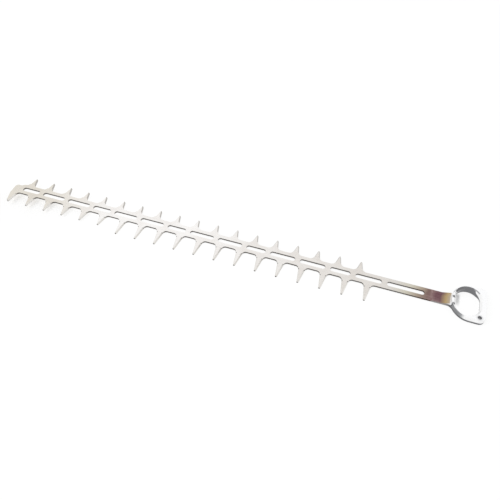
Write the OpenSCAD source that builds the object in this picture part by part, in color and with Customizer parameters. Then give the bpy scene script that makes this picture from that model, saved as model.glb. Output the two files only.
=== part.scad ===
// Double-sided hedge trimmer cutter blade with a welded-on drive eye.
// The origin is the centre of the eye at the underside; the strip runs towards -X.

/* [Strip] */
// Thickness of the toothed strip
strip_t = 3; // [2:0.25:4]
// Width of the strip between the tooth roots of its two sides
strip_w = 20; // [18:1:24]
// Distance from the centre of the eye to the weld
weld_x = 51; // [46:1:60]
// Distance from the last tooth of the short side to the front edge of the nose
nose_reach = 27; // [24:1:32]
// Drop of the strip's far edge at the nose
nose_drop = 3.5; // [0:0.5:4]
// Radius of the nose's far corner
nose_r = 5; // [3:0.5:6]

/* [Teeth] */
// Distance between neighbouring teeth on one side
tooth_pitch = 34; // [30:1:40]
// Distance from the centre of the eye to the nearest tooth of the short side
first_tooth_x = 161.5; // [150:0.5:180]
// Number of teeth on the short side
short_side_teeth = 18; // [8:1:22]
// Tooth length on the short side
short_len = 18.5; // [14:0.5:22]
// Tooth length on the long side
long_len = 30; // [24:0.5:34]
// Width of a tooth at its root
root_w = 11.6; // [9:0.2:13]
// Radius of a tooth's tip
tip_r = 1.7; // [1.6:0.1:2.2]
// Fillet radius at the tooth roots
root_r = 6; // [3:0.5:7]

/* [Front section] */
// Number of front teeth of the long side that are cut back
cut_back_teeth = 5; // [5:1:6]
// Length of the cut-back teeth and of the nose tooth
cut_back_len = 22; // [20:0.5:26]
// Width of a cut-back tooth at its root
front_root_w = 13; // [11:0.2:14]
// Shift of the cut-back teeth towards the nose
front_shift = 3; // [2:0.5:4]

/* [Ground edges] */
// Width of the bevel ground on each flank, seen from above
bevel_w = 1.4; // [0.8:0.1:1.5]
// Height of the land that the bevel leaves at the underside
bevel_land = 0.8; // [0.4:0.1:1.2]

/* [Slots] */
// Width of the guide slots
slot_w = 8; // [6:0.5:9]
// Distance from the centre of the eye to the first bridge between two slots
first_bridge_x = 121; // [110:1:130]
// Length along the strip taken by a long slot and its bridge
long_slot_step = 48.3; // [46:0.1:50]
// Number of teeth over which the slot pattern of long, short, long repeats
slot_cycle_teeth = 4; // [4:1:5]
// Metal left between two slots
bridge_w = 7.5; // [5:0.5:10]
// Metal left between the last slot and the weld
weld_bridge = 10; // [8:1:14]
// Least metal between the front slot and the nose
nose_bridge = 12; // [10:1:20]

/* [Drive eye] */
// Height of the eye
eye_h = 11; // [9:0.5:14]
// Width of the eye's hole along the strip
eye_hole_w = 35.4; // [30:0.2:37]
// Length of the eye's hole across the strip
eye_hole_l = 47.8; // [42:0.2:49]
// Chamfer round the top of the hole
eye_lead_in = 2.4; // [1:0.2:2.6]
// Radius of the eye's rounded back, towards the strip
eye_back_r = 29.5; // [29.5:0.5:32]
// Shift of the eye's outer shape away from the strip
eye_shift = 6; // [4:0.5:6]
// Wall of the eye at its end face
eye_end_wall = 9.3; // [8:0.1:12]
// Radius of the eye's outer corners
eye_corner_r = 9; // [8:0.5:10]
// Chamfer on the eye's outer edges
eye_edge = 0.8; // [0.4:0.1:1.2]
// Radius of the small hole in the eye's corner
corner_hole_r = 2.7; // [2:0.1:3]
// Wall between the small hole and the eye's outer corner
corner_hole_wall = 2.6; // [2:0.1:3]
// Height of the lug's ramp where it meets the eye
ramp_h = 7; // [5:0.5:9]
// Length of the lug's ramp
ramp_l = 13; // [8:1:18]
// Fillet radius between the lug and the eye
lug_r = 8; // [4:0.5:10]

/* [Weld] */
// Width of the weld at the top face
weld_w = 2.8; // [2:0.2:4]
// Width of the weld at its root
weld_root_w = 0.8; // [0.4:0.1:1.2]
// Height of the two faces that butt together under the weld
butt_h = 0.6; // [0.4:0.1:1]
// Height of the weld's crown above the strip
weld_crown = 0.35; // [0.2:0.05:0.6]

/* [Hidden] */
$fn = 64;
// Overlap that joins the shapes of one piece
lap = 1;
// Excess of a round over its neighbours, so that their edges cross and don't just touch
graze = 0.005;
half_w = strip_w / 2;
root_half = root_w / 2;

last_tooth_x = first_tooth_x + (short_side_teeth - 1) * tooth_pitch;
nose_x = last_tooth_x + nose_reach;
// The long side's teeth stand half a pitch nearer to the eye
long_side_x = first_tooth_x - tooth_pitch / 2;
nose_tooth_x = nose_x - 6;
nose_shoulder = half_w + 4;

slot_cycle = slot_cycle_teeth * tooth_pitch;
short_slot_step = slot_cycle - 2 * long_slot_step;
cycle_places = [0, long_slot_step, long_slot_step + short_slot_step];
function bridge_x(i) = first_bridge_x + floor(i / 3) * slot_cycle + cycle_places[i % 3];
most_bridges = 3 * short_side_teeth;
bridges = len([for (i = [0:most_bridges]) if (bridge_x(i) <= nose_x - nose_bridge) i]);

hole_r = eye_hole_w / 2;
hole_c = eye_hole_l / 2 - hole_r;
eye_end_x = hole_r + eye_end_wall;
corner_x = eye_end_x - eye_corner_r;
corner_y = eye_back_r - eye_corner_r;
corner_hole_y = -corner_y - eye_corner_r + corner_hole_wall + corner_hole_r;
lug_end_x = eye_shift - eye_back_r + 2;
fillet_y = half_w + lug_r;
fillet_x = eye_shift - sqrt(pow(eye_back_r + lug_r, 2) - pow(fillet_y, 2));

// A flank is given by the tooth's length, its half width at the root, its tip and root radii
short_flank = [short_len, root_half, tip_r, root_r];
long_flank = [long_len, root_half, tip_r, root_r];
front_flank = [cut_back_len, front_root_w / 2, tip_r, root_r];

// Angle of a flank to the tooth's axis, from a line that touches the round tip
function lean_of(s) = acos(s[2] / norm([s[1], s[0] - s[2]])) - atan2(s[0] - s[2], s[1]);
// Distance from the root corner to where the root fillet touches the flank
function fillet_run(s) = s[3] / tan((90 + lean_of(s)) / 2);

// Right half of a tooth that points along +Y from its root line, with its root fillet
module half_tooth(s) {
    a = lean_of(s);
    tip_y = s[0] - s[2];
    touch = [s[2] * cos(a), tip_y + s[2] * sin(a)];
    run = fillet_run(s);
    foot = [s[1] - run * sin(a), run * cos(a)];
    polygon([
        [-s[2] / 2, -lap], [s[1], -lap], [s[1], 0],
        touch, [0, touch[1]], [-s[2] / 2, tip_y]
    ]);
    difference() {
        polygon([
            [s[1] - lap, -lap], [s[1] + run, -lap],
            [s[1] + run, s[3]], foot, [foot[0] - lap, foot[1]]
        ]);
        translate([s[1] + run, s[3]]) circle(r = s[3] + graze);
    }
    translate([0, tip_y]) circle(r = s[2] + graze);
}

// Whole tooth with a flank on both sides
module tooth(s) {
    half_tooth(s);
    mirror([1, 0]) half_tooth(s);
}

// Cutter for the bevel on a right flank, from the end of its fillet outwards
module flank_grind(s) {
    rise = strip_t - bevel_land;
    translate([s[1], 0, 0])
        rotate([0, 0, lean_of(s)])
            translate([0, s[0] + lap, 0])
                rotate([90, 0, 0])
                    linear_extrude(height = s[0] + lap - fillet_run(s))
                        polygon([
                            [bevel_w / 2, bevel_land - rise / 2],
                            [bevel_w / 2, bevel_land + rise * 3 / 2],
                            [-bevel_w * 3 / 2, bevel_land + rise * 3 / 2]
                        ]);
}

module ground_tooth(s) {
    flank_grind(s);
    mirror([1, 0, 0]) flank_grind(s);
}

// Places its children at each tooth of the short side, pointing along +Y
module at_short_side() {
    for (i = [0:short_side_teeth - 1])
        translate([-first_tooth_x - i * tooth_pitch, half_w, 0])
            children();
}

// Places its children at each full tooth of the long side
module at_long_side() {
    for (i = [0:short_side_teeth - cut_back_teeth - 1])
        translate([-long_side_x - i * tooth_pitch, -half_w, 0])
            mirror([0, 1, 0]) children();
}

// Places its children at each cut-back tooth of the long side
module at_front() {
    for (i = [short_side_teeth - cut_back_teeth:short_side_teeth - 1])
        translate([-long_side_x - i * tooth_pitch - front_shift, -half_w, 0])
            mirror([0, 1, 0]) children();
}

// Nose: a rounded far corner, a front edge and a half tooth that ends it
module nose_outline() {
    far_y = half_w - nose_drop;
    tip_y = -half_w - cut_back_len + tip_r;
    polygon([
        [-nose_x, far_y - nose_r],
        [-nose_x, -nose_shoulder],
        [-nose_tooth_x - tip_r, tip_y],
        [-nose_tooth_x, tip_y],
        [-nose_tooth_x, -half_w],
        [-last_tooth_x, -half_w],
        [-last_tooth_x, half_w],
        [-last_tooth_x - root_half - fillet_run(short_flank) - lap, half_w],
        [-nose_x + 2 * nose_r, far_y],
        [-nose_x + nose_r, far_y]
    ]);
    translate([-nose_x + nose_r, far_y - nose_r]) circle(r = nose_r);
    translate([-nose_tooth_x, -half_w]) mirror([0, 1]) half_tooth(front_flank);
}

module slot(x_near, x_far) {
    r = slot_w / 2;
    translate([-x_far + r, -r]) square([x_far - x_near - slot_w, slot_w]);
    translate([-x_far + r, 0]) circle(r = r);
    translate([-x_near - r, 0]) circle(r = r);
}

module slots() {
    slot(weld_x + weld_bridge, first_bridge_x - bridge_w / 2);
    for (i = [0:bridges - 2])
        slot(bridge_x(i) + bridge_w / 2, bridge_x(i + 1) - bridge_w / 2);
}

module strip_outline() {
    difference() {
        union() {
            translate([-last_tooth_x, -half_w]) square([last_tooth_x - weld_x, strip_w]);
            at_short_side() tooth(short_flank);
            at_long_side() tooth(long_flank);
            at_front() tooth(front_flank);
            nose_outline();
        }
        slots();
    }
}

// Section of the weld's groove, with the top left open
module groove_section() {
    polygon([
        [-weld_root_w / 2, butt_h], [weld_root_w / 2, butt_h],
        [weld_w / 2, strip_t], [weld_w / 2, strip_t + lap],
        [-weld_w / 2, strip_t + lap], [-weld_w / 2, strip_t]
    ]);
}

// Carries a section drawn in X and Z across the strip at the weld
module across_weld() {
    translate([-weld_x, half_w, 0])
        rotate([90, 0, 0])
            linear_extrude(height = strip_w) children();
}

module toothed_strip() {
    color([0.86, 0.84, 0.81])
        difference() {
            linear_extrude(height = strip_t) strip_outline();
            at_short_side() ground_tooth(short_flank);
            at_long_side() ground_tooth(long_flank);
            at_front() ground_tooth(front_flank);
            translate([-nose_tooth_x, -half_w, 0])
                mirror([0, 1, 0]) flank_grind(front_flank);
            across_weld() groove_section();
        }
}

// Section from the middle out to a wall at distance w with chamfered edges
module edged_section(w) {
    polygon([
        [0, 0], [w - eye_edge, 0], [w, eye_edge],
        [w, eye_h - eye_edge], [w - eye_edge, eye_h], [0, eye_h]
    ]);
}

// Outer shape of the eye: a round back, straight sides and a squared end with round corners
module eye_body() {
    translate([eye_shift, 0, 0])
        rotate([0, 0, 90])
            rotate_extrude(angle = 180) edged_section(eye_back_r);
    for (side = [0, 1])
        mirror([0, side, 0]) {
            translate([eye_shift, 0, 0])
                rotate([90, 0, 90])
                    linear_extrude(height = corner_x - eye_shift) edged_section(eye_back_r);
            translate([corner_x, corner_y, 0]) rotate_extrude() edged_section(eye_corner_r);
        }
    translate([0, corner_y, 0])
        rotate([90, 0, 0])
            linear_extrude(height = 2 * corner_y) edged_section(eye_end_x);
}

// Oblong hole with a lead-in chamfer at the top
module eye_hole() {
    for (side = [-1, 1])
        translate([0, side * hole_c, 0]) {
            translate([0, 0, -lap]) cylinder(r = hole_r, h = eye_h + 2 * lap);
            translate([0, 0, eye_h - eye_lead_in])
                cylinder(r1 = hole_r, r2 = hole_r + eye_lead_in + lap, h = eye_lead_in + lap);
        }
    translate([0, hole_c, 0])
        rotate([90, 0, 0])
            linear_extrude(height = 2 * hole_c)
                polygon([
                    [-hole_r, -lap], [hole_r, -lap], [hole_r, eye_h - eye_lead_in],
                    [hole_r + eye_lead_in + lap, eye_h + lap],
                    [-hole_r - eye_lead_in - lap, eye_h + lap], [-hole_r, eye_h - eye_lead_in]
                ]);
}

// Fillet in plan between the lug's side and the round back of the eye
module lug_fillet() {
    reach = eye_back_r / (eye_back_r + lug_r);
    touch = [eye_shift + (fillet_x - eye_shift) * reach, fillet_y * reach];
    difference() {
        polygon([
            [fillet_x, half_w - lap], [fillet_x, fillet_y], touch,
            [touch[0] + 2 * lap, half_w - lap]
        ]);
        translate([fillet_x, fillet_y]) circle(r = lug_r + graze);
    }
}

// Lug: as thick as the strip at the weld, with a ramp and fillets up to the eye
module lug() {
    translate([-weld_x, -half_w, 0]) cube([weld_x + lug_end_x, strip_w, strip_t]);
    translate([0, half_w, 0])
        rotate([90, 0, 0])
            linear_extrude(height = strip_w)
                polygon([
                    [lug_end_x - ramp_l - 2, 0], [lug_end_x, 0],
                    [lug_end_x, ramp_h], [lug_end_x - 2, ramp_h],
                    [lug_end_x - ramp_l - 2, strip_t]
                ]);
    linear_extrude(height = strip_t) {
        lug_fillet();
        mirror([0, 1]) lug_fillet();
    }
}

module drive_eye() {
    color([0.78, 0.78, 0.79])
        difference() {
            union() {
                eye_body();
                lug();
            }
            eye_hole();
            translate([corner_x, corner_hole_y, -lap])
                cylinder(r = corner_hole_r, h = eye_h + 2 * lap);
            across_weld() groove_section();
        }
}

// Weld: fills the groove and stands a little proud in a shallow arc
module weld_seam() {
    crown_r = (pow(weld_w / 2, 2) + pow(weld_crown, 2)) / (2 * weld_crown);
    color([0.45, 0.33, 0.38])
        across_weld() {
            polygon([
                [-weld_root_w / 2, butt_h], [weld_root_w / 2, butt_h],
                [weld_w / 2, strip_t], [-weld_w / 2, strip_t]
            ]);
            intersection() {
                translate([0, strip_t + weld_crown - crown_r]) circle(r = crown_r);
                translate([-weld_w / 2, strip_t]) square([weld_w, 2 * weld_crown]);
            }
        }
}

toothed_strip();
drive_eye();
weld_seam();
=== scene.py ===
import math

import bpy
import numpy as np
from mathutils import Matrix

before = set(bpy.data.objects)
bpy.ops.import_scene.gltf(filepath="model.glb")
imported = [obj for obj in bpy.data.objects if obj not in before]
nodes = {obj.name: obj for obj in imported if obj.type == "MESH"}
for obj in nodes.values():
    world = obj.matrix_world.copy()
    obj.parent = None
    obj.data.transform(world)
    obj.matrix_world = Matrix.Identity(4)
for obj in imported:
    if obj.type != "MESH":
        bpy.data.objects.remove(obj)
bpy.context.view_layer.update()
print("frame loaded:", sorted(nodes))


# Colours are written as they look on a screen and turned into the shader's linear values
def linear(red, green, blue):
    screen = np.array([red, green, blue]) / 255.0
    low = screen / 12.92
    high = ((screen + 0.055) / 1.055) ** 2.4
    return tuple(np.where(screen <= 0.04045, low, high).tolist()) + (1.0,)


def grey(value):
    return (value, value, value, 1.0)


# Shader helpers. A plain value goes into a socket, and anything else is linked to it.
def feed(tree, socket, value):
    if isinstance(value, (int, float, tuple)):
        socket.default_value = value
    else:
        tree.links.new(value, socket)


def newMaterial(name):
    material = bpy.data.materials.new(name)
    material.use_nodes = True
    tree = material.node_tree
    return material, tree, tree.nodes["Principled BSDF"]


def mathNode(tree, operation, first, second=None, third=None, clamp=False):
    node = tree.nodes.new("ShaderNodeMath")
    node.operation = operation
    node.use_clamp = clamp
    for index, value in enumerate((first, second, third)):
        if value is not None:
            feed(tree, node.inputs[index], value)
    return node.outputs[0]


def multiply(tree, first, *others):
    product = first
    for value in others:
        product = mathNode(tree, "MULTIPLY", product, value)
    return product


# sqrt(first^2 + second^2)
def lengthOf(tree, first, second):
    square = multiply(tree, second, second)
    return mathNode(tree, "SQRT", mathNode(tree, "MULTIPLY_ADD", first, first, square))


def mixColour(tree, factor, first, second, blend="MIX"):
    node = tree.nodes.new("ShaderNodeMix")
    node.data_type = "RGBA"
    node.blend_type = blend
    for index, value in ((0, factor), (6, first), (7, second)):
        feed(tree, node.inputs[index], value)
    return node.outputs[2]


# Turns low..high into toLow..toHigh and stays at the ends beyond them
def rangeNode(tree, value, low, high, toLow=0.0, toHigh=1.0, smooth=False):
    node = tree.nodes.new("ShaderNodeMapRange")
    node.clamp = True
    if smooth:
        node.interpolation_type = "SMOOTHSTEP"
    tree.links.new(value, node.inputs["Value"])
    for name, number in (("From Min", low), ("From Max", high), ("To Min", toLow), ("To Max", toHigh)):
        node.inputs[name].default_value = number
    return node.outputs["Result"]


def noiseNode(tree, vector, scale, detail=2.0, roughness=0.5):
    node = tree.nodes.new("ShaderNodeTexNoise")
    for name, value in (("Vector", vector), ("Scale", scale), ("Detail", detail), ("Roughness", roughness)):
        feed(tree, node.inputs[name], value)
    return node.outputs["Fac"]


def objectPlace(tree):
    return tree.nodes.new("ShaderNodeTexCoord").outputs["Object"]


def stretched(tree, vector, stretch):
    mapping = tree.nodes.new("ShaderNodeMapping")
    mapping.inputs["Scale"].default_value = stretch
    tree.links.new(vector, mapping.inputs["Vector"])
    return mapping.outputs["Vector"]


def splitPlace(tree, vector):
    node = tree.nodes.new("ShaderNodeSeparateXYZ")
    tree.links.new(vector, node.inputs[0])
    return node.outputs


# A new ramp has two stops, which become the first two
def colourRamp(tree, factor, stops):
    node = tree.nodes.new("ShaderNodeValToRGB")
    elements = node.color_ramp.elements
    for index, (position, colour) in enumerate(stops):
        element = elements[index] if index < 2 else elements.new(position)
        element.position = position
        element.color = colour
    tree.links.new(factor, node.inputs["Fac"])
    return node.outputs["Color"]


def addBump(tree, shader, height, strength, distance):
    bump = tree.nodes.new("ShaderNodeBump")
    bump.inputs["Strength"].default_value = strength
    bump.inputs["Distance"].default_value = distance
    tree.links.new(height, bump.inputs["Height"])
    tree.links.new(bump.outputs["Normal"], shader.inputs["Normal"])


# A node group with inputs from a dictionary of names and values, and the named outputs
def newGroup(name, inputs, outputs):
    group = bpy.data.node_groups.new(name, "ShaderNodeTree")
    for socketName, value in inputs.items():
        socket = group.interface.new_socket(socketName, in_out="INPUT", socket_type="NodeSocketFloat")
        socket.default_value = value
    for socketName in outputs:
        group.interface.new_socket(socketName, in_out="OUTPUT", socket_type="NodeSocketFloat")
    given = group.nodes.new("NodeGroupInput").outputs
    result = group.nodes.new("NodeGroupOutput").inputs
    return group, given, result


def useGroup(tree, group, values):
    node = tree.nodes.new("ShaderNodeGroup")
    node.node_tree = group
    for name, value in values.items():
        feed(tree, node.inputs[name], value)
    return node.outputs


# Grinding marks are lines along X: a noise stretched far along the strip and a finer one
grind = {
    "layers": [
        {"stretch": (0.025, 1.0, 1.0), "scale": 900.0, "share": 0.6},
        {"stretch": (0.08, 1.0, 1.0), "scale": 2600.0, "share": 0.4},
    ],
    "detail": 3.0,
    "roughness": 0.65,
    "tones": (0.36, 0.64),
    "depth": 0.0002,
}


# Height is the sum of share * noise over the layers, and Tone spreads it out from 0 to 1
def makeGrindGroup():
    group, given, result = newGroup("grindMarks", {"Fineness": 1.0, "Angle": 0.0}, ("Tone", "Height"))
    turn = group.nodes.new("ShaderNodeVectorRotate")
    turn.rotation_type = "Z_AXIS"
    group.links.new(objectPlace(group), turn.inputs["Vector"])
    group.links.new(given["Angle"], turn.inputs["Angle"])
    height = 0.0
    for layer in grind["layers"]:
        place = stretched(group, turn.outputs["Vector"], layer["stretch"])
        scale = multiply(group, given["Fineness"], layer["scale"])
        lines = noiseNode(group, place, scale, grind["detail"], grind["roughness"])
        height = mathNode(group, "MULTIPLY_ADD", lines, layer["share"], height)
    group.links.new(rangeNode(group, height, *grind["tones"]), result["Tone"])
    group.links.new(height, result["Height"])
    return group


# How far a normal stands up, from 0 on a wall to 1 on a top, where slopes and flats begin and
# are full. The smallest level keeps a flat face from a division by zero.
facing = {"slope": (0.15, 0.40), "flat": (0.80, 0.97), "smallestLevel": 0.001}


# Which way a face looks. Flat is 1 on faces that look up or down, and Bevel is 1 on slopes.
# Level X and Level Y are the normal's direction seen from above, n / sqrt(nx^2 + ny^2), so a
# chamfer has the same one as the wall below it.
def makeFacingGroup():
    group, _, result = newGroup("flatFaces", {}, ("Flat", "Bevel", "Level X", "Level Y"))
    normal = group.nodes.new("ShaderNodeNewGeometry").outputs["Normal"]
    turned = group.nodes.new("ShaderNodeVectorTransform")
    turned.vector_type = "NORMAL"
    turned.convert_from = "WORLD"
    turned.convert_to = "OBJECT"
    group.links.new(normal, turned.inputs["Vector"])
    part = splitPlace(group, turned.outputs["Vector"])
    level = mathNode(group, "MAXIMUM", lengthOf(group, part[0], part[1]), facing["smallestLevel"])
    group.links.new(mathNode(group, "DIVIDE", part[0], level), result["Level X"])
    group.links.new(mathNode(group, "DIVIDE", part[1], level), result["Level Y"])
    upright = mathNode(group, "ABSOLUTE", part[2])
    flat = rangeNode(group, upright, *facing["flat"])
    notWall = rangeNode(group, upright, *facing["slope"])
    group.links.new(flat, result["Flat"])
    group.links.new(mathNode(group, "SUBTRACT", notWall, flat, clamp=True), result["Bevel"])
    return group


cloud = {"scale": 28.0, "detail": 4.0, "roughness": 0.55, "tones": (0.35, 0.65)}


# Stains and handling marks: soft clouds, as a share between 0 and 1
def makeStainGroup():
    group, given, result = newGroup("stains", {"Size": 1.0}, ("Cloud",))
    scale = mathNode(group, "DIVIDE", cloud["scale"], given["Size"])
    noise = noiseNode(group, objectPlace(group), scale, cloud["detail"], cloud["roughness"])
    group.links.new(rangeNode(group, noise, *cloud["tones"], smooth=True), result["Cloud"])
    return group


grindMarks = makeGrindGroup()
flatFaces = makeFacingGroup()
stains = makeStainGroup()
print("node groups made")


# Colour from a list of (place along X, screen colour)
def colourAlong(tree, x, stops):
    start, end = stops[0][0], stops[-1][0]
    along = rangeNode(tree, x, start, end)
    return colourRamp(tree, along, [((at - start) / (end - start), linear(*colour)) for at, colour in stops])


# Metal with grinding marks: they shade the colour, change the roughness and stand out a little
def finishMetal(tree, shader, colour, marks, finish):
    shaded = tree.nodes.new("ShaderNodeHueSaturation")
    tone = rangeNode(tree, marks["Tone"], 0.0, 1.0, 1.0 - finish["marks"], 1.0)
    roughness = rangeNode(tree, marks["Tone"], 0.0, 1.0, *finish["roughness"])
    feed(tree, shaded.inputs["Color"], colour)
    feed(tree, shaded.inputs["Value"], tone)
    feed(tree, shader.inputs["Base Color"], shaded.outputs["Color"])
    feed(tree, shader.inputs["Metallic"], 1.0)
    feed(tree, shader.inputs["Roughness"], roughness)
    addBump(tree, shader, marks["Height"], finish["bump"], grind["depth"])


# Temper colours of the steel round the weld, from the coolest to the hottest part and back
heatColours = {
    "ground": (224, 220, 215),
    "straw": (210, 205, 190),
    "brown": (172, 157, 141),
    "darkBrown": (128, 104, 98),
    "rose": (138, 111, 111),
    "purple": (114, 82, 88),
    "gold": (186, 160, 114),
    "paleGold": (180, 163, 142),
    "bare": (236, 234, 232),
}

# Their places along X, in metres from the eye's centre: straw and brown beside the last slot,
# dark brown at its end, rose behind the weld, purple on the lug, gold on the ramp to the eye
heatTint = [
    (-0.112, heatColours["ground"]),
    (-0.088, heatColours["straw"]),
    (-0.071, heatColours["brown"]),
    (-0.057, heatColours["darkBrown"]),
    (-0.050, heatColours["rose"]),
    (-0.045, heatColours["purple"]),
    (-0.038, heatColours["purple"]),
    (-0.030, heatColours["gold"]),
    (-0.025, heatColours["paleGold"]),
    (-0.023, heatColours["bare"]),
]

# Each pair says where a stretch begins and where it is full
heatPattern = {
    "railStep": 0.005,
    "railAlong": (-0.056, -0.062),
    "railAcross": (0.0, 0.004),
    "edgeStep": 0.0025,
    "farEdge": (0.003, 0.008),
    "purpleBack": (-0.070, -0.058),
    "purpleFront": (-0.034, -0.040),
    "lineStretch": (0.05, 1.0, 1.0),
    "lineScale": 520.0,
    "lineDetail": 1.0,
    "lineTones": (0.46, 0.66),
    "lineShare": 0.26,
    "nearEdge": (-0.003, -0.010),
    "edgeShare": 0.26,
    "paler": (172, 150, 148),
}


# The heat tint. The far rail beside the last slot stayed cooler, so its colours lie a step
# nearer to the eye, and they lean a little that way along the far edge. In the purple,
# grinding marks about 2 mm apart show paler, and so does the edge on the near side.
def heatColour(tree, at):
    pattern = heatPattern
    railAlong = rangeNode(tree, at[0], *pattern["railAlong"])
    railAcross = rangeNode(tree, at[1], *pattern["railAcross"])
    farRail = multiply(tree, railAlong, railAcross)
    farEdge = rangeNode(tree, at[1], *pattern["farEdge"])
    place = mathNode(tree, "MULTIPLY_ADD", farRail, -pattern["railStep"], at[0])
    place = mathNode(tree, "MULTIPLY_ADD", farEdge, -pattern["edgeStep"], place)
    purpleBack = rangeNode(tree, at[0], *pattern["purpleBack"])
    purpleFront = rangeNode(tree, at[0], *pattern["purpleFront"])
    linePlace = stretched(tree, objectPlace(tree), pattern["lineStretch"])
    lines = noiseNode(tree, linePlace, pattern["lineScale"], pattern["lineDetail"])
    streaks = rangeNode(tree, lines, *pattern["lineTones"], 0.0, pattern["lineShare"])
    nearEdge = rangeNode(tree, at[1], *pattern["nearEdge"], 0.0, pattern["edgeShare"])
    share = multiply(tree, mathNode(tree, "ADD", streaks, nearEdge), purpleBack, purpleFront)
    return mixColour(tree, share, colourAlong(tree, place, heatTint), linear(*pattern["paler"]))


# Tone of the ground face along X: warm at the nose, palest in the middle, greyer near the eye
stripColours = {"warm": (232, 227, 217), "palest": (252, 250, 248), "greyer": (231, 227, 222)}
stripTone = [
    (-0.710, stripColours["warm"]),
    (-0.590, stripColours["palest"]),
    (-0.430, stripColours["palest"]),
    (-0.150, stripColours["greyer"]),
]

# The rows of teeth end at three distances from the strip's middle line, and the front row
# lies beyond frontStart along X
toothEnds = {"far": 0.0285, "near": -0.0400, "front": -0.0320}
# The teeth's ends are painted darker as shade, from 3 mm before the end and fully from 0.5 mm
toothTips = {"frontStart": -0.571, "shadedFrom": 0.003, "full": 0.0005, "share": 0.75}


# The ends of the teeth get a painted shade: a share that rises from 0 to 1 over the last few millimetres
def paintedTipShade(tree, at):
    shares = {}
    for row, end in toothEnds.items():
        start = end - math.copysign(toothTips["shadedFrom"], end)
        full = end - math.copysign(toothTips["full"], end)
        shares[row] = rangeNode(tree, at[1], start, full)
    inFront = mathNode(tree, "LESS_THAN", at[0], toothTips["frontStart"])
    nearRows = mathNode(tree, "MAXIMUM", shares["near"], multiply(tree, shares["front"], inFront))
    return mathNode(tree, "MAXIMUM", shares["far"], nearRows)


# Pairs of numbers say where a stretch begins and where it is full, except the roughness, which
# is that of dark marks and of light ones
stripFinish = {
    "wall": (132, 128, 123),
    "root": (104, 101, 97),
    "rootFacing": (-0.50, -0.90),
    "flank": (208, 204, 199),
    "flankFacing": (0.60, 0.90),
    "flankAcross": (-0.012, -0.016),
    "bevel": (190, 186, 181),
    "flankBevel": (232, 229, 224),
    "hotWall": (76, 61, 54),
    "hotWallAlong": (-0.096, -0.066),
    "heatedAlong": (-0.130, -0.108),
    # Colour of the painted shade at the ends of the teeth
    "tip": (190, 188, 187),
    "cloud": (222, 212, 204),
    "cloudShare": 0.18,
    "roughness": (0.38, 0.25),
    "marks": 0.08,
    "bump": 0.12,
}


def stripTop(tree, at):
    stain = useGroup(tree, stains, {"Size": 1.0})
    clouds = multiply(tree, stain["Cloud"], stripFinish["cloudShare"])
    heated = rangeNode(tree, at[0], *stripFinish["heatedAlong"], smooth=True)
    # Painted shade at the ends of the teeth
    tipShade = multiply(tree, paintedTipShade(tree, at), toothTips["share"])
    top = colourAlong(tree, at[0], stripTone)
    top = mixColour(tree, clouds, top, linear(*stripFinish["cloud"]), "MULTIPLY")
    top = mixColour(tree, heated, top, heatColour(tree, at))
    return mixColour(tree, tipShade, top, linear(*stripFinish["tip"]))


# The flanks of the near teeth mirror the bright room, and the roots and slots the dark part
def stripSide(tree, at, face):
    names = ("wall", "root", "flank", "hotWall", "bevel", "flankBevel")
    wall, root, flank, hotWall, bevel, flankBevel = (linear(*stripFinish[name]) for name in names)
    sideways = rangeNode(tree, mathNode(tree, "ABSOLUTE", face["Level X"]), *stripFinish["flankFacing"])
    nearFlank = multiply(tree, sideways, rangeNode(tree, at[1], *stripFinish["flankAcross"]))
    side = mixColour(tree, rangeNode(tree, face["Level Y"], *stripFinish["rootFacing"]), wall, root)
    side = mixColour(tree, nearFlank, side, flank)
    side = mixColour(tree, rangeNode(tree, at[0], *stripFinish["hotWallAlong"]), side, hotWall)
    return mixColour(tree, face["Bevel"], side, mixColour(tree, nearFlank, bevel, flankBevel))


def makeGroundSteel():
    material, tree, shader = newMaterial("groundSteel")
    marks = useGroup(tree, grindMarks, {"Fineness": 1.0, "Angle": 0.0})
    face = useGroup(tree, flatFaces, {})
    at = splitPlace(tree, objectPlace(tree))
    colour = mixColour(tree, face["Flat"], stripSide(tree, at, face), stripTop(tree, at))
    finishMetal(tree, shader, colour, marks, stripFinish)
    return material


# The eye. Pairs of numbers are as in stripFinish.
eyeFinish = {
    "top": (254, 254, 255),
    "dark": (114, 114, 116),
    "rimLine": (174, 174, 176),
    "outerDark": (136, 137, 139),
    "middle": (158, 159, 161),
    "bright": (240, 241, 242),
    "white": (254, 254, 254),
    "lowLine": (108, 108, 110),
    # Painted shade inside the corner hole
    "deepHole": (168, 168, 170),
    "hotWall": (150, 146, 144),
    "hotWallAlong": (-0.0245, -0.030),
    "tintedAlong": (-0.0225, -0.0245),
    "cloud": (168, 169, 171),
    "cloudShare": 0.12,
    "roughness": (0.32, 0.20),
    "marks": 0.03,
    "bump": 0.10,
}

# The oblong hole is two half circles joined by a straight stretch. Past outsideRadius from
# its nearer half circle's centre, a wall belongs to the outside of the eye.
eyeShape = {"halfStraight": 0.0062, "outsideRadius": (0.0203, 0.0209)}
outerWall = {
    "toneStops": (("outerDark", 0.0), ("outerDark", 0.19), ("middle", 0.27), ("white", 0.36)),
    "lowLine": (0.0050, 0.0036),
    "stepAcross": (0.0038, 0.0026),
    "stepAlong": (-0.018, -0.020),
}
# The corner hole: its inside and a soft ring round its edge get painted shade
cornerHole = {"x": 0.018, "y": -0.0242, "reach": 0.0031, "shade": 0.0058, "shadeShare": 0.42}

# Two small spots of painted dark reflection high on the hole's wall, at its side towards the strip: place
# and share of colour
limbReflections = {
    "places": [(-0.0205, 0.0022, 0.9), (-0.0186, -0.0098, 1.0)],
    "reach": (0.0030, 0.0012),
    "above": (0.0082, 0.0090),
    "colour": (100, 100, 102),
}


# Distance from a line along Z, sqrt(dx^2 + dy^2)
def distanceFrom(tree, at, x, y):
    return lengthOf(tree, mathNode(tree, "SUBTRACT", at[0], x), mathNode(tree, "SUBTRACT", at[1], y))


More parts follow.
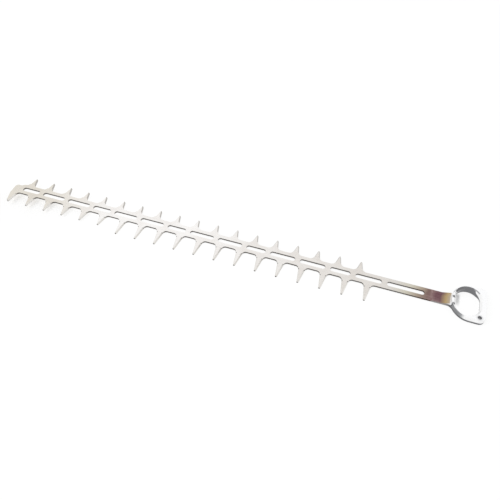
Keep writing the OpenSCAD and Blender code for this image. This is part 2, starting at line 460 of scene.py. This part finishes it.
# Facings are Level X or Level Y of the wall, heights and half widths are in metres
insideDark = {
    "lineHeight": 0.0050,
    "lineSlope": -0.10,
    "farWallFacing": (-0.62, -0.40),
    "farHalfWidth": 0.0060,
    "lineFacing": (-0.62, -0.96),
    "lineHalfWidths": (0.0035, 0.0010),
    "softEdge": 0.0004,
    "topHeight": (0.0098, 0.0102),
    "topFacing": (-0.20, -0.10),
    "topShare": 0.8,
    "leftEnd": (0.97, 0.93),
    "nearEnd": (0.20, 0.12),
}


# Where the wall of the hole mirrors the dark part of the room. It covers the far wall from
# bottom to top. Towards the right end it thins out into a line at the height 5 mm - y / 10.
def darkInside(tree, at, face):
    dark = insideDark
    height = mathNode(tree, "MULTIPLY_ADD", at[1], dark["lineSlope"], dark["lineHeight"])
    offset = mathNode(tree, "ABSOLUTE", mathNode(tree, "SUBTRACT", at[2], height))
    farWidth = rangeNode(tree, face["Level X"], *dark["farWallFacing"], 0.0, dark["farHalfWidth"])
    lineWidth = rangeNode(tree, face["Level X"], *dark["lineFacing"], *dark["lineHalfWidths"])
    halfWidth = mathNode(tree, "ADD", farWidth, lineWidth)
    inBand = mathNode(tree, "SUBTRACT", halfWidth, offset)
    band = rangeNode(tree, inBand, -dark["softEdge"], dark["softEdge"])
    high = rangeNode(tree, at[2], *dark["topHeight"])
    top = multiply(tree, high, rangeNode(tree, face["Level X"], *dark["topFacing"]), dark["topShare"])
    left = rangeNode(tree, face["Level X"], *dark["leftEnd"])
    near = rangeNode(tree, face["Level Y"], *dark["nearEnd"])
    return multiply(tree, mathNode(tree, "MAXIMUM", band, top), left, near)


rim = {"height": (0.0095, 0.0099), "start": (-0.30, -0.42), "end": (-0.80, -0.76)}


# Beyond the dark far wall, the upper edge of the lead-in goes on as a grey line to the right
def darkRim(tree, at, face):
    high = rangeNode(tree, at[2], *rim["height"])
    start = rangeNode(tree, face["Level X"], *rim["start"])
    end = rangeNode(tree, face["Level X"], *rim["end"])
    farSide = mathNode(tree, "LESS_THAN", face["Level Y"], 0.0)
    return multiply(tree, high, farSide, start, end)


# The eye's walls mirror a dark and a bright part of the room. Outside, the wall towards the
# strip is dark below the lug and it brightens to the right above a dark lower edge. The step
# from the lug up to the ring is bright. Inside, the dark colour is there for direct sight
# only, so that the lead-in doesn't mirror the dark wall across the hole.
def eyeWallColour(tree, at, face):
    names = ("white", "dark", "rimLine", "lowLine", "bright")
    white, dark, rimLine, lowLine, bright = (linear(*eyeFinish[name]) for name in names)
    pastStraight = mathNode(tree, "SUBTRACT", mathNode(tree, "ABSOLUTE", at[1]), eyeShape["halfStraight"])
    across = mathNode(tree, "MAXIMUM", pastStraight, 0.0)
    outside = rangeNode(tree, lengthOf(tree, at[0], across), *eyeShape["outsideRadius"])
    glossy = tree.nodes.new("ShaderNodeLightPath").outputs["Is Glossy Ray"]
    notMirrored = mathNode(tree, "SUBTRACT", 1.0, glossy)
    inside = multiply(tree, darkInside(tree, at, face), notMirrored)
    inner = mixColour(tree, inside, white, dark)
    inner = mixColour(tree, darkRim(tree, at, face), inner, rimLine)
    around = rangeNode(tree, face["Level X"], -1.0, 1.0)
    stops = [(position, linear(*eyeFinish[name])) for name, position in outerWall["toneStops"]]
    outer = colourRamp(tree, around, stops)
    outer = mixColour(tree, rangeNode(tree, at[2], *outerWall["lowLine"]), outer, lowLine)
    stepAcross = rangeNode(tree, across, *outerWall["stepAcross"])
    step = multiply(tree, stepAcross, rangeNode(tree, at[0], *outerWall["stepAlong"]))
    outer = mixColour(tree, step, outer, bright)
    return mixColour(tree, outside, inner, outer)


# The corner hole is painted dark inside as shade and a painted shade rings its edge, and the left limb has
# two spots of painted dark reflection
def eyeSpots(tree, at, colour):
    toHole = distanceFrom(tree, at, cornerHole["x"], cornerHole["y"])
    near = rangeNode(tree, toHole, cornerHole["shade"], cornerHole["reach"])
    shade = multiply(tree, near, cornerHole["shadeShare"])
    colour = mixColour(tree, shade, colour, linear(*eyeFinish["middle"]))
    inHole = mathNode(tree, "LESS_THAN", toHole, cornerHole["reach"])
    colour = mixColour(tree, inHole, colour, linear(*eyeFinish["deepHole"]))
    high = rangeNode(tree, at[2], *limbReflections["above"])
    # Painted dark reflections high on the left limb's wall inside the hole
    for x, y, share in limbReflections["places"]:
        darkReflection = rangeNode(tree, distanceFrom(tree, at, x, y), *limbReflections["reach"], 0.0, share, smooth=True)
        colour = mixColour(tree, multiply(tree, darkReflection, high), colour, linear(*limbReflections["colour"]))
    return colour


def makeEyeSteel():
    material, tree, shader = newMaterial("eyeSteel")
    marks = useGroup(tree, grindMarks, {"Fineness": 1.3, "Angle": 0.6})
    face = useGroup(tree, flatFaces, {})
    stain = useGroup(tree, stains, {"Size": 0.5})
    at = splitPlace(tree, objectPlace(tree))
    tinted = rangeNode(tree, at[0], *eyeFinish["tintedAlong"], smooth=True)
    tint = heatColour(tree, at)
    top = mixColour(tree, tinted, linear(*eyeFinish["top"]), tint)
    clouds = multiply(tree, stain["Cloud"], eyeFinish["cloudShare"])
    hot = rangeNode(tree, at[0], *eyeFinish["hotWallAlong"])
    wall = mixColour(tree, clouds, eyeWallColour(tree, at, face), linear(*eyeFinish["cloud"]))
    wall = mixColour(tree, hot, wall, linear(*eyeFinish["hotWall"]))
    side = mixColour(tree, face["Bevel"], wall, mixColour(tree, tinted, wall, tint))
    colour = eyeSpots(tree, at, mixColour(tree, face["Flat"], side, top))
    finishMetal(tree, shader, colour, marks, eyeFinish)
    return material


# The bead has ripples across it, about 1.3 mm apart along Y
weldFinish = {
    "colour": (158, 134, 132),
    "cloud": (136, 108, 108),
    "grain": 900.0,
    "grainTones": (0.3, 0.7),
    "roughness": (0.28, 0.42),
    "rippleScale": 240.0,
    "rippleDistortion": 2.5,
    "rippleDetail": 2.0,
    "bump": 0.35,
    "rippleDepth": 0.0004,
}


def makeWeldMetal():
    material, tree, shader = newMaterial("weldMetal")
    place = objectPlace(tree)
    stain = useGroup(tree, stains, {"Size": 0.3})
    colour = mixColour(tree, stain["Cloud"], linear(*weldFinish["colour"]), linear(*weldFinish["cloud"]))
    grain = noiseNode(tree, place, weldFinish["grain"])
    roughness = rangeNode(tree, grain, *weldFinish["grainTones"], *weldFinish["roughness"])
    feed(tree, shader.inputs["Base Color"], colour)
    feed(tree, shader.inputs["Metallic"], 1.0)
    feed(tree, shader.inputs["Roughness"], roughness)
    ripples = tree.nodes.new("ShaderNodeTexWave")
    ripples.bands_direction = "Y"
    ripples.inputs["Scale"].default_value = weldFinish["rippleScale"]
    ripples.inputs["Distortion"].default_value = weldFinish["rippleDistortion"]
    ripples.inputs["Detail"].default_value = weldFinish["rippleDetail"]
    tree.links.new(place, ripples.inputs["Vector"])
    addBump(tree, shader, ripples.outputs["Fac"], weldFinish["bump"], weldFinish["rippleDepth"])
    return material


def dress(name, material):
    mesh = nodes[name].data
    mesh.materials.clear()
    mesh.materials.append(material)


dress("toothed_strip", makeGroundSteel())
dress("drive_eye", makeEyeSteel())
dress("weld_seam", makeWeldMetal())
print("materials set")

# The camera stands where the photo's camera stood. Its focal length is in pixels of a
# picture that is imagePixels wide.
view = {
    "place": (-0.158, -0.529, 0.691),
    "azimuth": 18.51,
    "elevation": 51.2,
    "focalPixels": 558.5,
    "imagePixels": 500.0,
    "sensor": 36.0,
    "nearest": 0.01,
    "farthest": 20.0,
}


def makeCamera():
    camera = bpy.data.objects.new("camera", bpy.data.cameras.new("camera"))
    camera.location = view["place"]
    camera.rotation_euler = (math.radians(90.0 - view["elevation"]), 0.0, math.radians(view["azimuth"]))
    camera.data.sensor_width = view["sensor"]
    camera.data.lens = view["focalPixels"] / view["imagePixels"] * view["sensor"]
    camera.data.clip_start = view["nearest"]
    camera.data.clip_end = view["farthest"]
    bpy.context.scene.collection.objects.link(camera)
    bpy.context.scene.camera = camera


# The floor's own colour takes the shadows and its glow makes up the white. In two patches it has more colour
# and less glow, so that soft shadows show: those of the front teeth, and that of the eye's left limb inside
# the hole. The second patch has so little glow that it is grey even outside the shadow, a painted shade
# beside the limb.
light = {"floorColour": 0.24, "floorGlow": 0.85, "worldFill": 0.62}
patches = [
    {
        "right": (-0.58, -0.71),
        "left": (-1.00, -0.85),
        "back": (0.0, -0.012),
        "front": (-0.20, -0.10),
        "colour": 0.75,
        "glow": 0.40,
    },
    {
        # Painted shade: with this little glow the floor here is grey even where no shadow falls
        "right": (-0.0090, -0.0120),
        "left": (-0.0180, -0.0145),
        "back": (0.018, 0.013),
        "front": (-0.007, 0.002),
        "colour": 0.75,
        "glow": 0.15,
    },
]

# The table lies under the eye and falls away below the front of the blade, which stands
# clear of it: drop * t^2, with t from 0 at start to 1 at end
table = {
    "half": 4.0,
    "start": -0.40,
    "end": -0.76,
    "last": -0.80,
    "drop": 0.008,
    "clearance": 0.0001,
    "columns": 25,
}


def seenDirectly(tree):
    path = tree.nodes.new("ShaderNodeLightPath").outputs
    seen = mathNode(tree, "MAXIMUM", path["Is Camera Ray"], path["Is Glossy Ray"])
    return mathNode(tree, "MAXIMUM", seen, path["Is Transmission Ray"])


# Share of a patch, from 0 outside its four sides to 1 inside them
def patchShare(tree, at, patch):
    along = [rangeNode(tree, at[0], *patch[side]) for side in ("right", "left")]
    across = [rangeNode(tree, at[1], *patch[side]) for side in ("back", "front")]
    return multiply(tree, *along, *across)


def makePaleFloor():
    material, tree, shader = newMaterial("paleFloor")
    at = splitPlace(tree, objectPlace(tree))
    colour, glow = grey(light["floorColour"]), light["floorGlow"]
    for patch in patches:
        share = patchShare(tree, at, patch)
        colour = mixColour(tree, share, colour, grey(patch["colour"]))
        glow = mathNode(tree, "MULTIPLY_ADD", share, patch["glow"] - light["floorGlow"], glow)
    feed(tree, shader.inputs["Base Color"], colour)
    feed(tree, shader.inputs["Roughness"], 1.0)
    feed(tree, shader.inputs["Specular IOR Level"], 0.0)
    feed(tree, shader.inputs["Emission Color"], grey(1.0))
    feed(tree, shader.inputs["Emission Strength"], multiply(tree, seenDirectly(tree), glow))
    return material


def makeFloor():
    half = table["half"]
    falling = np.linspace(table["start"], table["last"], table["columns"])
    along = np.concatenate([[half], falling, [-half]])
    share = np.clip((along - table["start"]) / (table["end"] - table["start"]), 0.0, 1.0)
    height = -table["clearance"] - table["drop"] * share**2
    count = len(along)
    points = [(x, y, z) for y in (-half, half) for x, z in zip(along.tolist(), height.tolist())]
    faces = [(column + 1, column, count + column, count + column + 1) for column in range(count - 1)]
    mesh = bpy.data.meshes.new("floor")
    mesh.from_pydata(points, [], faces)
    mesh.materials.append(makePaleFloor())
    floor = bpy.data.objects.new("floor", mesh)
    bpy.context.scene.collection.objects.link(floor)


def makeWorld():
    world = bpy.data.worlds.new("studio")
    bpy.context.scene.world = world
    world.use_nodes = True
    tree = world.node_tree
    background = tree.nodes["Background"]
    background.inputs["Color"].default_value = grey(1.0)
    strength = rangeNode(tree, seenDirectly(tree), 0.0, 1.0, light["worldFill"], 1.0)
    tree.links.new(strength, background.inputs["Strength"])


softKey = {"place": (-1.6, -0.65, 1.15), "aim": (-0.5, 0.0, 0.0), "size": (1.0, 1.0), "watts": 7.0}


# A rectangle of light at its place, turned towards its aim. Metal doesn't mirror it, so that
# the flat tops show their own colour from every side.
def areaLamp(name, lampSettings):
    data = bpy.data.lights.new(name, "AREA")
    data.shape = "RECTANGLE"
    data.size, data.size_y = lampSettings["size"]
    data.energy = lampSettings["watts"]
    lamp = bpy.data.objects.new(name, data)
    lamp.location = lampSettings["place"]
    direction = np.array(lampSettings["aim"]) - np.array(lampSettings["place"])
    level = math.hypot(direction[0], direction[1])
    tilt = math.atan2(level, -direction[2])
    turn = math.atan2(direction[1], direction[0]) - math.pi / 2
    lamp.rotation_euler = (tilt, 0.0, turn)
    lamp.visible_glossy = False
    bpy.context.scene.collection.objects.link(lamp)


makeCamera()
makeFloor()
makeWorld()
areaLamp("softKey", softKey)
bpy.context.scene.view_settings.view_transform = "Standard"
print("camera, floor and light set")
